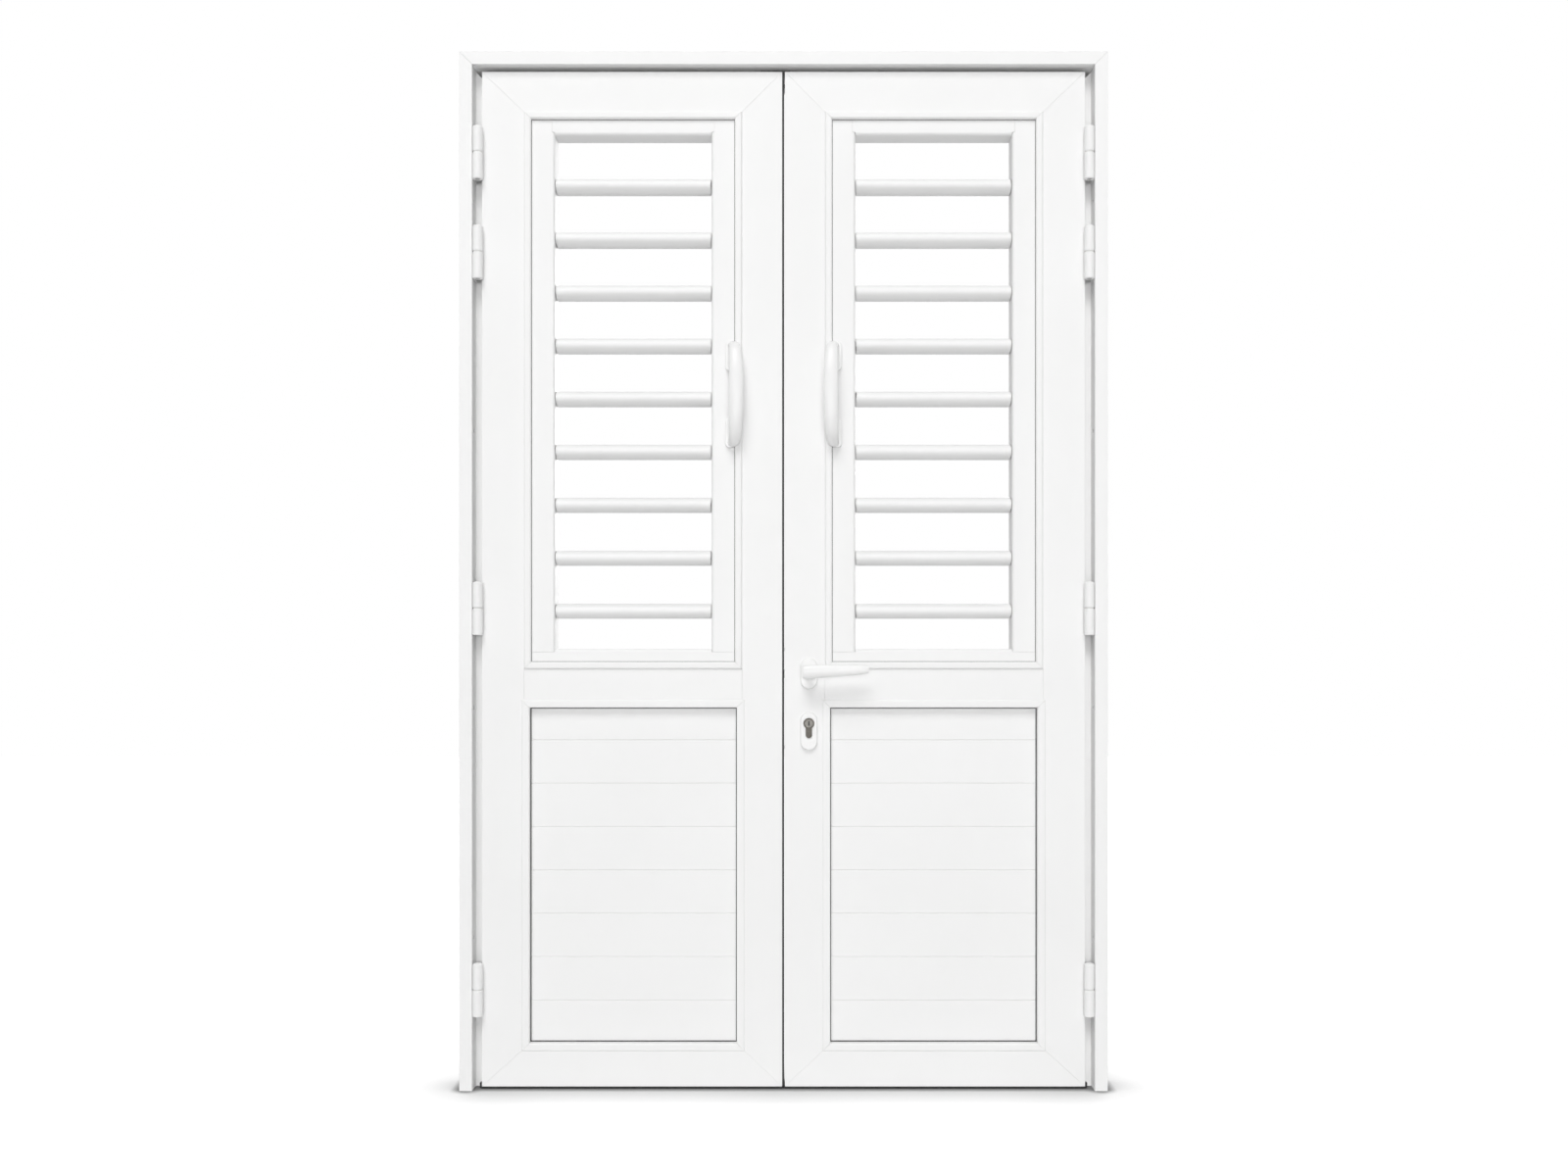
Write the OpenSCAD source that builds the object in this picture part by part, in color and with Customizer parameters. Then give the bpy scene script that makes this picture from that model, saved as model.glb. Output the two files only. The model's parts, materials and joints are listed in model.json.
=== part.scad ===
// Louvered double door in its frame, without the wall.
// X runs to the right, Y away from the viewer, Z up. The origin is on the floor, midway between
// the leaves and at the middle of their thickness. The right leaf is modelled and mirrored.

/* [Frame] */
// Overall width across the jambs
frame_w = 1320; // [1200:10:1600]
// Overall height from the floor to the top of the head
frame_h = 2116; // [2060:1:2300]
// Width of the jamb and head faces
frame_face = 26; // [22:1:36]
// Depth of the leaf face behind the frame face
frame_recess = 16; // [14:0.5:20]
// Wall of the hollow frame sections
frame_wall = 2.2; // [1.6:0.1:3]
// Thickness of the stop behind the leaves
stop_t = 8; // [6:0.5:12]
// Overlap of the jamb stops behind the leaves
stop_overlap = 12; // [11:0.5:18]
// Thickness of the gasket between the stop and the leaves
gasket_t = 4; // [3:0.5:6]
// Radius of the wall fixing holes
fixing_r = 4.2; // [3:0.1:5]
// Spacing of each pair of wall fixing holes
fixing_pitch = 470; // [300:10:490]

/* [Leaves] */
// Thickness of the leaves
leaf_t = 56; // [54:1:64]
// Gap between a leaf edge and its jamb
hinge_gap = 17; // [16:0.5:20]
// Gap between the leaves and the head
head_gap = 9; // [7:0.5:12]
// Gap between the leaves and the floor
floor_gap = 5; // [4:0.5:12]
// Gap between the two leaves
meeting_gap = 5.5; // [5:0.1:7]
// Width of the hinge stiles
hinge_stile_w = 86; // [70:1:100]
// Width of the meeting stiles
meeting_stile_w = 82; // [78:1:96]
// Width of the top rails
top_rail_w = 82; // [70:1:100]
// Width of the bottom rails
bottom_rail_w = 77.5; // [65:0.5:100]
// Height of the underside of the mid rails above the floor
mid_rail_z = 791; // [770:1:800]
// Width of the mid rails
mid_rail_w = 68; // [50:1:90]
// Wall of the hollow leaf sections
leaf_wall = 2; // [1.6:0.1:3]
// Width of the lip that holds the infill at the back
lip_w = 13; // [10:0.5:16]
// Thickness of that lip
lip_t = 3; // [2:0.5:4]

/* [Beads] */
// Width of the bead round the louvre cassette
upper_bead_w = 15; // [11:0.5:17]
// Stand of the upper bead in front of the leaf face
upper_bead_proud = 5; // [3:0.5:7]
// Width of the bead round the lower panel
lower_bead_w = 16; // [12:0.5:18]
// Overlap of the lower bead on the leaf face
lower_bead_lap = 5; // [2:0.5:6]
// Stand of the lower bead in front of the leaf face
lower_bead_proud = 2; // [1:0.5:4]

/* [Louvres] */
// Number of blades in each leaf
blade_count = 9; // [5:1:12]
// Height of the lowest blade above the opening's sill
first_blade_rise = 78.7; // [60:0.1:90]
// Depth of the highest blade below the opening's top
last_blade_drop = 99.8; // [80:0.1:130]
// Depth of a blade
blade_depth = 48; // [36:1:50]
// Thickness of a blade
blade_t = 31; // [24:1:36]
// Wall of a blade
blade_wall = 2; // [1.5:0.1:3]
// Depth of the cassette face behind the leaf face
cassette_recess = 3; // [2:0.5:5]
// Width of the cassette stile on the hinge side
cassette_hinge_w = 61.5; // [40:0.5:80]
// Width of the cassette stile on the meeting side
cassette_meeting_w = 61.5; // [50:0.5:80]
// Height of the cassette top rail
cassette_top_h = 45; // [30:1:60]
// Height of the cassette bottom rail
cassette_bottom_h = 40; // [30:1:60]
// Radius on the cassette's inner edges
cassette_round = 6; // [3:0.5:8]

/* [Lower panel] */
// Cover height of a plank
plank_pitch = 89.2; // [80:0.1:100]
// Height of the bottom plank
first_plank_h = 94.5; // [85:0.5:110]
// Depth of the planks behind the leaf face
plank_recess = 15; // [10:0.5:18]
// Depth of the groove between planks
groove_depth = 1.2; // [0.8:0.1:4]

/* [Hinges] */
// Heights of the lower hinges above the floor
low_hinges = [206, 983]; // [150:1:1000]
// Depths of the upper hinges below the top of the leaf
high_hinges = [372, 169]; // [120:1:500]
// Radius of the hinge barrel
barrel_r = 10.5; // [9:0.1:10.8]
// Length of one knuckle
knuckle_h = 55; // [45:1:65]
// Radius of the hinge pin
pin_r = 4.5; // [3.5:0.1:6]
// Thickness of the hinge plates
hinge_plate_t = 3; // [2:0.5:4]
// Thickness of the washer between the knuckles
hinge_washer_t = 1.5; // [1:0.1:2]

/* [Pull handles] */
// Height of the middle of the pull handles
pull_z = 1420; // [1300:1:1500]
// Length of a pull handle
pull_len = 217; // [180:1:260]
// Stand of the grip in front of the leaf
pull_reach = 40; // [34:1:46]
// Width of the grip at its middle
pull_w = 29; // [22:1:34]

/* [Lock] */
// Distance of the lever and cylinder from the meeting edge
backset = 49; // [45:0.5:55]
// Height of the lever above the floor
lever_z = 850; // [840:1:900]
// Distance from the lever down to the cylinder
cylinder_drop = 102; // [95:1:106]
// Length of the lever arm past its axis
lever_len = 122; // [100:1:140]
// Height of the lever at its root
lever_root_h = 30; // [24:0.5:34]
// Height of the lever at its tip
lever_tip_h = 18; // [12:0.5:22]
// Stand of the lever in front of the leaf
lever_reach = 56; // [52:1:70]
// Travel of the latch bolt
latch_throw = 11; // [9:0.5:12]
// Travel of the dead bolt
dead_bolt_throw = 20; // [16:1:22]
// Travel of the flush bolts
flush_throw = 18; // [12:1:20]

/* [Hidden] */
$fn = 48;

// Overrun of every cut past the face that it opens
over = 1;
// Hairline left at mitres and butt joints
joint_gap = 0.15;
// Clearance round an infill in its opening
infill_gap = 1;
// Clearance of pieces that slide or seat in each other
fit_gap = 0.3;
// Running clearance of round pins in their bores
run_gap = 0.05;
// Steps of a rounded edge, an oval and a swept grip
arc_steps = 6;
oval_steps = 40;
sweep_steps = 26;
ring_steps = 16;
// How far a mitre runs past the inner and the outer corner, as shares of the bar's width
mitre_inner_share = 2.5;
mitre_outer_share = 0.1;

// Planes across the depth
leaf_front = -leaf_t / 2;
leaf_back = leaf_t / 2;
frame_front = leaf_front - frame_recess;
stop_front = leaf_back + gasket_t;
frame_back = stop_front + stop_t;
lip_front = leaf_back - lip_t;
cassette_front = leaf_front + cassette_recess;
plank_front = leaf_front + plank_recess;
slab_reach = 2 * (frame_back - frame_front);

// Lines across the width and the height, for the right half
jamb_x = frame_w / 2;
reveal_x = jamb_x - frame_face;
edge_x = reveal_x - hinge_gap;
meet_x = meeting_gap / 2;
stile_in_x = edge_x - hinge_stile_w;
meeting_in_x = meet_x + meeting_stile_w;
soffit_z = frame_h - frame_face;
leaf_top_z = soffit_z - head_gap;
leaf_bottom_z = floor_gap;
top_rail_z = leaf_top_z - top_rail_w;
bottom_rail_z = leaf_bottom_z + bottom_rail_w;
mid_rail_top_z = mid_rail_z + mid_rail_w;
leaf_w = edge_x - meet_x;
leaf_h = leaf_top_z - leaf_bottom_z;

// Heights of all the hinges
hinge_heights = concat(low_hinges, [for (d = high_hinges) leaf_top_z - d]);

// Step in the jambs that closes the hinge gap behind the hinge plates
step_gap = 4;
step_w = hinge_gap - step_gap;
hinge_set = 12;
barrel_gap = 0.5;
axis_x = reveal_x - barrel_r - barrel_gap;
axis_y = leaf_front - hinge_set;
plate_depth = 33;
step_front = axis_y + plate_depth + infill_gap;
stop_reach = hinge_gap + stop_overlap;

// Wall fixing holes
fixing_y = (frame_front + step_front) / 2;
upper_fixing_drop = 535;
upper_fixing_z = frame_h - upper_fixing_drop;
lower_fixing_z = 545;

// Louvre cassette
cassette_x0 = meeting_in_x + infill_gap;
cassette_x1 = stile_in_x - infill_gap;
cassette_z0 = mid_rail_top_z + infill_gap;
cassette_z1 = top_rail_z - infill_gap;
opening_x0 = cassette_x0 + cassette_meeting_w;
opening_x1 = cassette_x1 - cassette_hinge_w;
opening_z0 = cassette_z0 + cassette_bottom_h;
opening_z1 = cassette_z1 - cassette_top_h;
cassette_depth = lip_front - cassette_front;
cassette_mid_y = (lip_front + cassette_front) / 2;
cap_gap = 1.2;
cap_t = 4;
spigot_r = 6;
spigot_len = 7;
blade_x0 = opening_x0 + cap_gap + cap_t;
blade_x1 = opening_x1 - cap_gap - cap_t;

// Lower panel
plank_x0 = meeting_in_x + infill_gap;
plank_x1 = stile_in_x - infill_gap;
plank_z0 = bottom_rail_z + infill_gap;
plank_z1 = mid_rail_z - infill_gap;
plank_wall = 2;
tongue_h = 8;
tongue_t = 8;
plank_count = 2 + floor((plank_z1 - plank_z0 - first_plank_h) / plank_pitch);

// Lock
lock_x = meet_x + backset;
cylinder_z = lever_z - cylinder_drop;
plate_w = 20;
plate_t = 3;
plate_end = 60;
faceplate_z0 = cylinder_z - plate_end;
faceplate_z1 = lever_z + plate_end;
case_w = 17;
case_depth = 66;
case_z0 = faceplate_z0 + plate_w;
case_z1 = faceplate_z1 - plate_w;
rose_w = 35;
rose_h = 64;
rose_t = 8;
escutcheon_h = 78;
escutcheon_drop = 16;
neck_r = 8.5;
follower_r = 8.6;
spindle_w = 8;
cylinder_head_r = 11;
cylinder_slot_w = 12.6;
cylinder_h = 41;
cylinder_proud = 2;
plug_r = 8;
cam_w = 10;
cam_r = 15;
cam_tooth_w = 9;
keyway_w = 2.6;
keyway_h = 9;
keyway_depth = 14;
latch_w = 10;
latch_h = 18;
latch_tail = 28;
bolt_w = 9;
bolt_h = 24;
bolt_z = (lever_z + cylinder_z + cam_r) / 2;
bolt_guide = 20;
bolt_tail = dead_bolt_throw + bolt_guide;
flush_r = 5;
flush_inset = 14;
flush_rest = 2;
flush_plate_h = 160;
flush_plate_end = 40;
guide_h = 36;
thumb_w = 6;
thumb_h = 22;

// Points along an arc
function arc(c, r, a0, a1, n) = [for (i = [0:n]) let (a = a0 + (a1 - a0) * i / n)
    [c[0] + r * cos(a), c[1] + r * sin(a)]];
// Points round an oval
function oval(rx, ry, n) = [for (i = [0:n - 1]) [rx * cos(360 * i / n), ry * sin(360 * i / n)]];
// Corners of a mitred side of a rectangle [x0, z0, x1, z1] whose sides have widths [left, bottom, right, top]
function at_corner(r, w, right, top, k) = [right ? r[2] - k * w[2] : r[0] + k * w[0],
    top ? r[3] - k * w[3] : r[1] + k * w[1]];
function side_cut(r, w, a, b) = [at_corner(r, w, a[0], a[1], -mitre_outer_share),
    at_corner(r, w, a[0], a[1], mitre_inner_share),
    at_corner(r, w, b[0], b[1], mitre_inner_share),
    at_corner(r, w, b[0], b[1], -mitre_outer_share)];

// Slab across the whole depth with an outline in X and Z
module slab(points) {
    translate([0, slab_reach / 2, 0]) rotate([90, 0, 0]) linear_extrude(slab_reach) polygon(points);
}

// The right half and its mirror image
module both() {
    children();
    mirror([1, 0, 0]) children();
}

// Bars along the four sides of a rectangle, their sections drawn from the outer edge inwards
module low_bar(x0, x1, z) {
    translate([x1, 0, z]) rotate([0, -90, 0]) linear_extrude(x1 - x0) children();
}
module high_bar(x0, x1, z) {
    translate([x0, 0, z]) rotate([0, 90, 0]) linear_extrude(x1 - x0) children();
}
module near_bar(z0, z1, x) {
    translate([x, 0, z0]) linear_extrude(z1 - z0) children();
}
module far_bar(z0, z1, x) {
    translate([x, 0, z0]) mirror([1, 0, 0]) linear_extrude(z1 - z0) children();
}

// Box from its two corners
module block(a, b) {
    translate(a) cube(b - a);
}

// Round bar along Y or X between two places
module y_pin(x, z, y0, y1, r) {
    translate([x, y1, z]) rotate([90, 0, 0]) cylinder(r = r, h = y1 - y0);
}
module x_pin(y, z, x0, x1, r) {
    translate([x0, y, z]) rotate([0, 90, 0]) cylinder(r = r, h = x1 - x0);
}

// Closed skin over rings of equal point counts
module skin(rings) {
    n = len(rings);
    m = len(rings[0]);
    points = [for (ring = rings) for (p = ring) p];
    sides = [for (i = [0:n - 2]) for (j = [0:m - 1]) let (k = (j + 1) % m)
        each [[i * m + j, (i + 1) * m + k, i * m + k], [i * m + j, (i + 1) * m + j, (i + 1) * m + k]]];
    first = [for (j = [0:m - 1]) j];
    last = [for (j = [m - 1:-1:0]) (n - 1) * m + j];
    polyhedron(points, concat(sides, [first, last]));
}

// Frame

module frame_section(step) {
    difference() {
        polygon([[0, frame_front], [frame_face, frame_front], [frame_face, step_front],
            [frame_face + step, step_front], [frame_face + step, stop_front],
            [frame_face + stop_reach, stop_front], [frame_face + stop_reach, frame_back], [0, frame_back]]);
        translate([frame_wall, frame_front + frame_wall])
            square([frame_face - 2 * frame_wall, frame_back - frame_front - 2 * frame_wall]);
    }
}

frame_rect = [-jamb_x, -frame_h, jamb_x, frame_h];
frame_sides = [frame_face, frame_face, frame_face, frame_face];

module jamb() {
    difference() {
        intersection() {
            far_bar(0, frame_h, jamb_x) frame_section(step_w);
            slab(side_cut(short_rect(frame_rect, joint_gap), frame_sides, [true, false], [true, true]));
        }
        for (z = [upper_fixing_z, lower_fixing_z], side = [-1, 1])
            x_pin(fixing_y, z + side * fixing_pitch / 2, reveal_x - over, jamb_x + over, fixing_r);
    }
}

module right_jamb() color("white") jamb();
module left_jamb() color("white") mirror([1, 0, 0]) jamb();

module head() {
    color("white") difference() {
        intersection() {
            high_bar(-jamb_x, jamb_x, frame_h) frame_section(0);
            slab(side_cut(frame_rect, frame_sides, [false, true], [true, true]));
        }
        translate([-meet_x - flush_inset, 0, soffit_z - over])
            cylinder(r = flush_r + fit_gap, h = frame_wall + 2 * over);
        keep_block(over, fit_gap);
    }
}

// Plate let into the head where the top bolt enters
keep_w = 24;
keep_len = 60;
keep_t = 2;
module keep_block(below, grow) {
    block([-meet_x - flush_inset - keep_len / 2 - grow, -keep_w / 2 - grow, soffit_z - below],
        [-meet_x - flush_inset + keep_len / 2 + grow, keep_w / 2 + grow, soffit_z + keep_t]);
}
module head_bolt_keep() {
    color("silver") difference() {
        keep_block(0, 0);
        translate([-meet_x - flush_inset, 0, soffit_z - over])
            cylinder(r = flush_r + fit_gap, h = keep_t + 2 * over);
    }
}

// Cleats in the hollow of the two mitred corners
cleat_len = 70;
module frame_cleat() {
    inner = frame_wall + fit_gap;
    y0 = frame_front + frame_wall + fit_gap;
    y1 = frame_back - frame_wall - fit_gap;
    block([reveal_x + inner, y0, frame_h - frame_face - cleat_len], [jamb_x - inner, y1, frame_h - inner]);
    block([reveal_x - cleat_len, y0, soffit_z + inner], [jamb_x - inner, y1, frame_h - inner]);
}
module frame_corner_cleats() color("silver") both() frame_cleat();

// Gasket strips on the front of the stop
gasket_w = 7;
module frame_gasket() {
    x1 = edge_x - (stop_overlap - gasket_w) / 2;
    z1 = leaf_top_z - (stop_overlap - gasket_w) / 2;
    color("dimgray") {
        both() block([x1 - gasket_w, leaf_back + fit_gap, 0], [x1, stop_front, z1 - gasket_w - fit_gap]);
        block([-x1, leaf_back + fit_gap, z1 - gasket_w], [x1, stop_front, z1]);
    }
}

// Hinges

dome_h = 5;
chamfer = 1.2;
module upper_barrel() {
    rotate_extrude() polygon(concat([[0, hinge_washer_t / 2], [barrel_r - chamfer, hinge_washer_t / 2],
        [barrel_r, hinge_washer_t / 2 + chamfer]],
        [for (i = [0:arc_steps]) let (a = 90 * i / arc_steps)
            [barrel_r * cos(a), knuckle_h - dome_h + dome_h * sin(a)]]));
}
module lower_barrel() {
    top = -hinge_washer_t / 2;
    rotate_extrude() polygon([[0, -knuckle_h], [barrel_r - chamfer, -knuckle_h],
        [barrel_r, chamfer - knuckle_h], [barrel_r, top - chamfer], [barrel_r - chamfer, top], [0, top]]);
}

module hinge_frame_half() {
    difference() {
        union() {
            translate([axis_x, axis_y, 0]) lower_barrel();
            block([reveal_x - hinge_plate_t, axis_y, chamfer - knuckle_h],
                [reveal_x, axis_y + plate_depth, -hinge_washer_t / 2 - chamfer]);
        }
        translate([axis_x, axis_y, -knuckle_h - over])
            cylinder(r = pin_r + run_gap, h = knuckle_h + 2 * over);
    }
}
module hinge_frame_halves() {
    color("white") both() for (z = hinge_heights) translate([0, 0, z]) hinge_frame_half();
}

module hinge_half() {
    difference() {
        union() {
            translate([axis_x, axis_y, 0]) upper_barrel();
            block([edge_x, axis_y, hinge_washer_t / 2 + chamfer],
                [edge_x + hinge_plate_t, axis_y + plate_depth, knuckle_h - dome_h]);
        }
        translate([axis_x, axis_y, -over]) cylinder(r = pin_r + run_gap, h = knuckle_h - dome_h + over);
    }
}
module hinge_halves() color("white") for (z = hinge_heights) translate([0, 0, z]) hinge_half();
module right_hinge_halves() hinge_halves();
module left_hinge_halves() mirror([1, 0, 0]) hinge_halves();

module hinge_pins() {
    color("silver") both() for (z = hinge_heights)
        translate([axis_x, axis_y, z - knuckle_h])
            cylinder(r = pin_r, h = 2 * knuckle_h - dome_h - infill_gap);
}

module hinge_washers() {
    color("gainsboro") both() for (z = hinge_heights)
        translate([axis_x, axis_y, z - hinge_washer_t / 2]) difference() {
            cylinder(r = barrel_r - chamfer, h = hinge_washer_t);
            translate([0, 0, -over]) cylinder(r = pin_r + run_gap, h = hinge_washer_t + 2 * over);
        }
}

// Leaf frame

module leaf_section(w) {
    difference() {
        polygon([[0, leaf_front], [w, leaf_front], [w, lip_front],
            [w + lip_w, lip_front], [w + lip_w, leaf_back], [0, leaf_back]]);
        translate([leaf_wall, leaf_front + leaf_wall]) square([w - 2 * leaf_wall, leaf_t - 2 * leaf_wall]);
    }
}

leaf_rect = [meet_x, leaf_bottom_z, edge_x, leaf_top_z];
leaf_sides = [meeting_stile_w, bottom_rail_w, hinge_stile_w, top_rail_w];

// A stile is cut a hairline short so that the mitres show as joints
function short_rect(r, g) = [r[0], r[1] + g, r[2], r[3] - g];

module hinge_stile() {
    color("white") intersection() {
        far_bar(leaf_bottom_z, leaf_top_z, edge_x) leaf_section(hinge_stile_w);
        slab(side_cut(short_rect(leaf_rect, joint_gap), leaf_sides, [true, false], [true, true]));
    }
}

module meeting_stile() {
    color("white") intersection() {
        near_bar(leaf_bottom_z, leaf_top_z, meet_x) leaf_section(meeting_stile_w);
        slab(side_cut(short_rect(leaf_rect, joint_gap), leaf_sides, [false, false], [false, true]));
    }
}

module top_rail() {
    color("white") intersection() {
        high_bar(meet_x, edge_x, leaf_top_z) leaf_section(top_rail_w);
        slab(side_cut(leaf_rect, leaf_sides, [false, true], [true, true]));
    }
}

module bottom_rail() {
    color("white") intersection() {
        low_bar(meet_x, edge_x, leaf_bottom_z) leaf_section(bottom_rail_w);
        slab(side_cut(leaf_rect, leaf_sides, [false, false], [true, false]));
    }
}

module mid_rail() {
    x0 = meeting_in_x + joint_gap;
    x1 = stile_in_x - joint_gap;
    color("white") difference() {
        low_bar(x0, x1, mid_rail_z) difference() {
            polygon([[0, leaf_front], [mid_rail_w, leaf_front], [mid_rail_w, lip_front],
                [mid_rail_w + lip_w, lip_front], [mid_rail_w + lip_w, leaf_back],
                [-lip_w, leaf_back], [-lip_w, lip_front], [0, lip_front]]);
            translate([leaf_wall, leaf_front + leaf_wall])
                square([mid_rail_w - 2 * leaf_wall, leaf_t - 2 * leaf_wall]);
        }
        for (x = [x0 - over, x1 - lip_w - joint_gap])
            block([x, lip_front - joint_gap, mid_rail_z - lip_w - over],
                [x + lip_w + over + joint_gap, leaf_back + over, mid_rail_top_z + lip_w + over]);
    }
}

module right_hinge_stile() hinge_stile();
module left_hinge_stile() mirror([1, 0, 0]) hinge_stile();
module right_top_rail() top_rail();
module right_mid_rail() mid_rail();
module left_mid_rail() mirror([1, 0, 0]) mid_rail();
module right_bottom_rail() bottom_rail();

// Holes through the leaf's top and bottom walls for the flush bolts
module flush_hole(z) {
    translate([-meet_x - flush_inset, 0, z]) cylinder(r = flush_r + fit_gap, h = leaf_wall + 2 * over);
}
module left_top_rail() {
    difference() {
        mirror([1, 0, 0]) top_rail();
        flush_hole(leaf_top_z - leaf_wall - over);
    }
}
module left_bottom_rail() {
    difference() {
        mirror([1, 0, 0]) bottom_rail();
        flush_hole(leaf_bottom_z - over);
    }
}

// Slots in the meeting stiles for the plates let into their edges
module edge_slot(z0, z1) {
    block([meet_x - over, -plate_w / 2 - joint_gap, z0 - joint_gap],
        [meet_x + plate_t, plate_w / 2 + joint_gap, z1 + joint_gap]);
}
bottom_flush_z0 = bottom_rail_z + flush_plate_end;
top_flush_z0 = leaf_top_z + leaf_bottom_z - bottom_flush_z0 - flush_plate_h;
module left_meeting_stile() {
    mirror([1, 0, 0]) difference() {
        meeting_stile();
        edge_slot(faceplate_z0, faceplate_z1);
        edge_slot(top_flush_z0, top_flush_z0 + flush_plate_h);
        edge_slot(bottom_flush_z0, bottom_flush_z0 + flush_plate_h);
    }
}
module right_meeting_stile() {
    difference() {
        meeting_stile();
        edge_slot(faceplate_z0, faceplate_z1);
        y_pin(lock_x, lever_z, leaf_front - over, leaf_back + over, neck_r + fit_gap);
        cylinder_shape(leaf_front - over, leaf_back + over, fit_gap);
    }
}

// Cleats in the hollow corners and at the ends of the mid rail
cleat_arm_w = 40;
cleat_start = 26;
cleat_arm_len = 120;
connector_len = 50;
module corner_cleats() {
    y0 = leaf_front + leaf_wall + fit_gap;
    y1 = leaf_back - leaf_wall - fit_gap;
    color("silver") {
        for (x = [meet_x + cleat_start, edge_x - cleat_start - cleat_arm_w]) {
            block([x, y0, leaf_top_z - cleat_arm_len], [x + cleat_arm_w, y1, leaf_top_z - cleat_start]);
            block([x, y0, leaf_bottom_z + cleat_start], [x + cleat_arm_w, y1, leaf_bottom_z + cleat_arm_len]);
        }
        for (z = [leaf_top_z - cleat_start - cleat_arm_w, leaf_bottom_z + cleat_start]) {
            block([meet_x + cleat_start, y0, z], [meet_x + cleat_arm_len, y1, z + cleat_arm_w]);
            block([edge_x - cleat_arm_len, y0, z], [edge_x - cleat_start, y1, z + cleat_arm_w]);
        }
        for (x = [meeting_in_x + fit_gap, stile_in_x - fit_gap - connector_len])
            block([x, y0, mid_rail_z + leaf_wall + fit_gap],
                [x + connector_len, lip_front - joint_gap - fit_gap, mid_rail_top_z - leaf_wall - fit_gap]);
    }
}
module right_corner_cleats() corner_cleats();
module left_corner_cleats() mirror([1, 0, 0]) corner_cleats();

// Beads

// Width of the rounded edges of the upper bead
upper_bead_edge = 4;
module upper_bead_section() {
    inner_turn = upper_bead_w - upper_bead_edge;
    polygon(concat([[0, cassette_front]],
        [for (i = [0:arc_steps]) let (a = 90 * i / arc_steps)
            [upper_bead_edge * (1 - cos(a)), leaf_front - upper_bead_proud * sin(a)]],
        [for (i = [0:arc_steps]) let (a = 90 * i / arc_steps)
            [inner_turn + upper_bead_edge * sin(a), leaf_front - upper_bead_proud * cos(a)]],
        [[upper_bead_w, cassette_front]]));
}

// Width of the eased edges of the lower bead
lower_bead_edge = 3.5;
module lower_bead_section() {
    inner = lower_bead_w - lower_bead_lap;
    outer_turn = lower_bead_edge - lower_bead_lap;
    inner_turn = inner - lower_bead_edge;
    polygon(concat([[0, plank_front], [0, leaf_front]],
        [for (i = [0:arc_steps]) let (a = 90 * i / arc_steps)
            [outer_turn - lower_bead_edge * cos(a), leaf_front - lower_bead_proud * sin(a)]],
        [for (i = [0:arc_steps]) let (a = 90 * i / arc_steps)
            [inner_turn + lower_bead_edge * sin(a), leaf_front - lower_bead_proud * cos(a)]],
        [[inner, plank_front]]));
}

// Four mitred lengths round a rectangle, lap of each over its outer edge
module bead_ring(r, w, lap) {
    grown = [r[0] - lap, r[1] - lap, r[2] + lap, r[3] + lap];
    sides = [w, w, w, w];
    short = short_rect(grown, joint_gap);
    intersection() {
        near_bar(grown[1], grown[3], r[0]) children();
        slab(side_cut(short, sides, [false, false], [false, true]));
    }
    intersection() {
        far_bar(grown[1], grown[3], r[2]) children();
        slab(side_cut(short, sides, [true, false], [true, true]));
    }
    intersection() {
        low_bar(grown[0], grown[2], r[1]) children();
        slab(side_cut(grown, sides, [false, false], [true, false]));
    }
    intersection() {
        high_bar(grown[0], grown[2], r[3]) children();
        slab(side_cut(grown, sides, [false, true], [true, true]));
    }
}

module upper_bead() {
    color("white") bead_ring([meeting_in_x, mid_rail_top_z, stile_in_x, top_rail_z], upper_bead_w, 0)
        upper_bead_section();
}
module lower_bead() {
    color("white")
        bead_ring([meeting_in_x, bottom_rail_z, stile_in_x, mid_rail_z], lower_bead_w, lower_bead_lap)
            lower_bead_section();
}
module right_upper_bead() upper_bead();
module left_upper_bead() mirror([1, 0, 0]) upper_bead();
module right_lower_bead() lower_bead();
module left_lower_bead() mirror([1, 0, 0]) lower_bead();

// Louvre cassette, its sections drawn from the outer edge towards the opening

module cassette_section(w) {
    difference() {
        polygon(concat([[0, lip_front], [0, cassette_front]],
            arc([w - cassette_round, cassette_front + cassette_round], cassette_round, -90, 0, arc_steps),
            arc([w - cassette_round, lip_front - cassette_round], cassette_round, 0, 90, arc_steps)));
        translate([leaf_wall, cassette_front + leaf_wall])
            square([w - 2 * leaf_wall - cassette_round, cassette_depth - 2 * leaf_wall]);
    }
}

blade_pitch = (opening_z1 - opening_z0 - first_blade_rise - last_blade_drop) / (blade_count - 1);
function blade_z(i) = opening_z0 + first_blade_rise + i * blade_pitch;

// The rails are coped: each joint line lies where the rounded edge begins
sill_joint_z = opening_z0 - cassette_round;
head_joint_z = opening_z1 + cassette_round;
module cassette_cut(low, high) {
    block([low[0], cassette_front - over, low[1]], [high[0], lip_front + over, high[1]]);
}

module louvre_stiles() {
    color("white") difference() {
        union() {
            near_bar(sill_joint_z + joint_gap, cassette_z1, cassette_x0) cassette_section(cassette_meeting_w);
            far_bar(sill_joint_z + joint_gap, cassette_z1, cassette_x1) cassette_section(cassette_hinge_w);
        }
        cassette_cut([opening_x0 - cassette_round, head_joint_z - joint_gap],
            [opening_x0 + over, cassette_z1 + over]);
        cassette_cut([opening_x1 - over, head_joint_z - joint_gap],
            [opening_x1 + cassette_round, cassette_z1 + over]);
        for (i = [0:blade_count - 1]) {
            x_pin(cassette_mid_y, blade_z(i), opening_x0 - spigot_len, opening_x0 + over, spigot_r + run_gap);
            x_pin(cassette_mid_y, blade_z(i), opening_x1 - over, opening_x1 + spigot_len, spigot_r + run_gap);
        }
    }
}
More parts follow.
